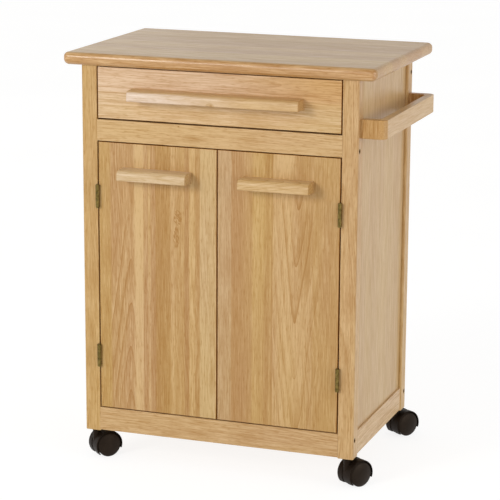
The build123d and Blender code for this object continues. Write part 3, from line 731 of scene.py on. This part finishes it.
screw_inset, screw_radius, screw_rim = 0.024, 0.0036, 0.001
crown_steps = ((0.0006, 0.86), (0.0004, 0.72))
pan_screw = turned_disc(screw_radius, screw_rim, base=0.0, facets=32)
edit(pan_screw, lambda face: face.normal.z > 0.9)
for rise, narrowing in crown_steps:
    bpy.ops.mesh.extrude_region_move(TRANSFORM_OT_translate={"value": (0, 0, rise)})
    bpy.ops.transform.resize(value=(narrowing, narrowing, 1))
bpy.ops.object.mode_set(mode="OBJECT")
crown = screw_rim + sum(rise for rise, narrowing in crown_steps)
cross_cut(pan_screw, crown, length=0.0034, width=0.0008, depth=0.0009)
for body, board in (
    ("drawer", "drawer_front"), ("left_door", "left_door_panel"), ("right_door", "right_door_panel")
):
    low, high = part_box(f"{body}_pull")
    middle = (low.z + high.z) / 2
    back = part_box(board)[1].y
    places = [facing((x, back, middle), -90, "X") for x in (low.x + screw_inset, high.x - screw_inset)]
    screws = set_out(pan_screw, f"{body}_pull_screws", places, zinc)
    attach(screws, body)
bpy.data.objects.remove(pan_screw, do_unlink=True)


# Hinges
# Butt hinges in antiqued brass, with knuckled leaves that turn on a pin.
# Two flat-head screws hold each leaf, to the post or to the edge of the door.
hinge_height, screw_spread, screw_setback = 0.045, 0.0145, 0.0085
flat_radius, flat_rise, flat_ease = 0.0029, 0.0004, 0.0002
brass = plated("Antiqued brass", dull=(0.088, 0.060, 0.016), bright=(0.25, 0.182, 0.056), roughness=0.36)
for leaves in ("left_door_hinge_leaves", "right_door_hinge_leaves", "hinge_frame_leaves"):
    dress(leaves, brass)
dress("hinge_pins", brass)
flat_screw = turned_disc(flat_radius, flat_rise, base=0.0, facets=32)
ease(flat_screw, lambda face: face.normal.z > 0.9, flat_ease, segments=2)
cross_cut(flat_screw, flat_rise, length=0.0036, width=0.0007, depth=0.0003)
frame_places = []
for side, turn in (("left", 90), ("right", -90)):
    low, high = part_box(f"{side}_door_hinge_leaves")
    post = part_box(f"front_{side}_post")
    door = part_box(f"{side}_door_panel")
    post_face, door_face = (post[1].x, door[0].x) if side == "left" else (post[0].x, door[1].x)
    y = post[0].y + screw_setback
    levels = (low.z + hinge_height / 2, high.z - hinge_height / 2)
    heights = [level + step for level in levels for step in (-screw_spread, screw_spread)]
    frame_places += [facing((post_face, y, z), turn, "Y") for z in heights]
    door_places = [facing((door_face, y, z), -turn, "Y") for z in heights]
    screws = set_out(flat_screw, f"{side}_door_hinge_screws", door_places, brass)
    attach(screws, f"{side}_door")
screws = set_out(flat_screw, "frame_hinge_screws", frame_places, brass)
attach(screws, "cabinet")
bpy.data.objects.remove(flat_screw, do_unlink=True)


# Door catch
# A brown plastic block behind the middle rail, with a magnet for each door.
# The magnets are pressed in and pull on plated strikes that are fixed to the doors.
magnet_width, magnet_thickness, magnet_height = 0.018, 0.002, 0.011
magnet_ease, magnet_border, magnet_dish = 0.0004, 0.0016, 0.0002
magnet_proud, magnet_inset, magnet_level = 0.00025, 0.012, 0.010
catch_plastic = plastic(
    "Brown catch plastic", deep=(0.10, 0.055, 0.028), worn=(0.14, 0.08, 0.042), roughness=0.45
)
dress("door_catch", catch_plastic)
for side in ("left", "right"):
    dress(f"{side}_door_strike", zinc)
bpy.ops.mesh.primitive_cube_add(size=1.0, scale=(magnet_width, magnet_thickness, magnet_height))
magnet = bpy.context.object
bpy.ops.object.transform_apply(location=False, rotation=False, scale=True)
ease(magnet, lambda face: face.normal.y < -0.9, magnet_ease, segments=2)
edit(magnet, lambda face: face.normal.y < -0.99)
bpy.ops.mesh.inset(thickness=magnet_border)
bpy.ops.mesh.extrude_region_move(TRANSFORM_OT_translate={"value": (0, magnet_dish, 0)})
bpy.ops.object.mode_set(mode="OBJECT")
low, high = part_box("door_catch")
y, z = low.y + magnet_thickness / 2 - magnet_proud, low.z + magnet_level
places = [Matrix.Translation((x, y, z)) for x in (low.x + magnet_inset, high.x - magnet_inset)]
magnets = set_out(magnet, "catch_magnets", places, zinc)
bpy.data.objects.remove(magnet, do_unlink=True)
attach(magnets, "cabinet")


# Stage: pale floor, soft light and the camera
# A plain floor in a white surround, lit softly from the upper left, the right and behind.
# The camera stands in front, to the right and above the height of the worktop.
floor_glow, bounced_glow = 0.84, 0.44
bpy.ops.mesh.primitive_plane_add(size=60.0, location=(0, 0, 0))
floor = bpy.context.object
floor.name = "floor"
floor_paint, tree, shader = new_material("Pale floor")
scuffs = noise(tree, object_place(tree), scale=2.0, detail=3.0)
bounced = put(tree, "ShaderNodeLightPath").outputs["Is Diffuse Ray"]
wire(tree, shader, (
    ("Base Color", toned(tree, scuffs, ((0.0, (0.22, 0.22, 0.219)), (1.0, (0.25, 0.25, 0.249))))),
    ("Roughness", 0.9),
    ("Specular IOR Level", 0.1),
    ("Emission Color", (1.0, 1.0, 1.0, 1)),
    ("Emission Strength", fade(tree, bounced, 0.0, 1.0, floor_glow, bounced_glow)),
))
floor.data.materials.append(floor_paint)

scene = bpy.context.scene
scene.view_settings.view_transform = "Standard"
surround = bpy.data.worlds.new("Studio surround")
scene.world = surround
surround.use_nodes = True
tree = surround.node_tree
height = axes(tree, put(tree, "ShaderNodeTexCoord").outputs["Generated"])["Z"]
wall = toned(tree, height, ((0.18, (1.0, 0.99, 0.975)), (0.92, (0.34, 0.337, 0.33))))
wire(tree, tree.nodes["Background"], (("Color", wall), ("Strength", 1.0)))


def soft_light(name, place, target, size, power, colour):
    lamp = bpy.data.lights.new(name, "AREA")
    lamp.shape = "DISK"
    lamp.size = size
    lamp.energy = power
    lamp.color = colour
    holder = bpy.data.objects.new(name, lamp)
    scene.collection.objects.link(holder)
    holder.location = place
    holder.rotation_euler = (Vector(target) - Vector(place)).to_track_quat("-Z", "Y").to_euler()


soft_light("key", (-1.9, -3.7, 2.0), (0, 0, 0.5), size=1.5, power=68.0, colour=(1.0, 0.98, 0.95))
soft_light("fill", (3.0, -0.8, 0.9), (0.3, 0, 0.6), size=1.2, power=17.0, colour=(1.0, 0.98, 0.95))
soft_light("back", (-2.6, 3.8, 1.7), (-0.2, 0, 0.8), size=2.0, power=2.0, colour=(1.0, 0.99, 0.97))

camera_data = bpy.data.cameras.new("camera")
camera = bpy.data.objects.new("camera", camera_data)
scene.collection.objects.link(camera)
camera_data.sensor_width = 36.0
camera_data.lens = 152.57
camera_data.shift_x = 0.0042
camera_data.shift_y = 0.0383
camera_data.clip_end = 100.0
yaw, pitch, roll = math.radians(19.657), math.radians(13.679), math.radians(0.308)
from_post_foot = Vector((1.6953, -3.770703, 1.3396))
backward = Vector((math.sin(yaw) * math.cos(pitch), -math.cos(yaw) * math.cos(pitch), math.sin(pitch)))
level = Vector((math.cos(yaw), math.sin(yaw), 0))
upright = backward.cross(level)
right = level * math.cos(roll) + upright * math.sin(roll)
up = upright * math.cos(roll) - level * math.sin(roll)
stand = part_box("front_left_post")[0] + from_post_foot
camera.matrix_world = Matrix((
    (right.x, up.x, backward.x, stand.x),
    (right.y, up.y, backward.y, stand.y),
    (right.z, up.z, backward.z, stand.z),
    (0, 0, 0, 1),
))
scene.camera = camera
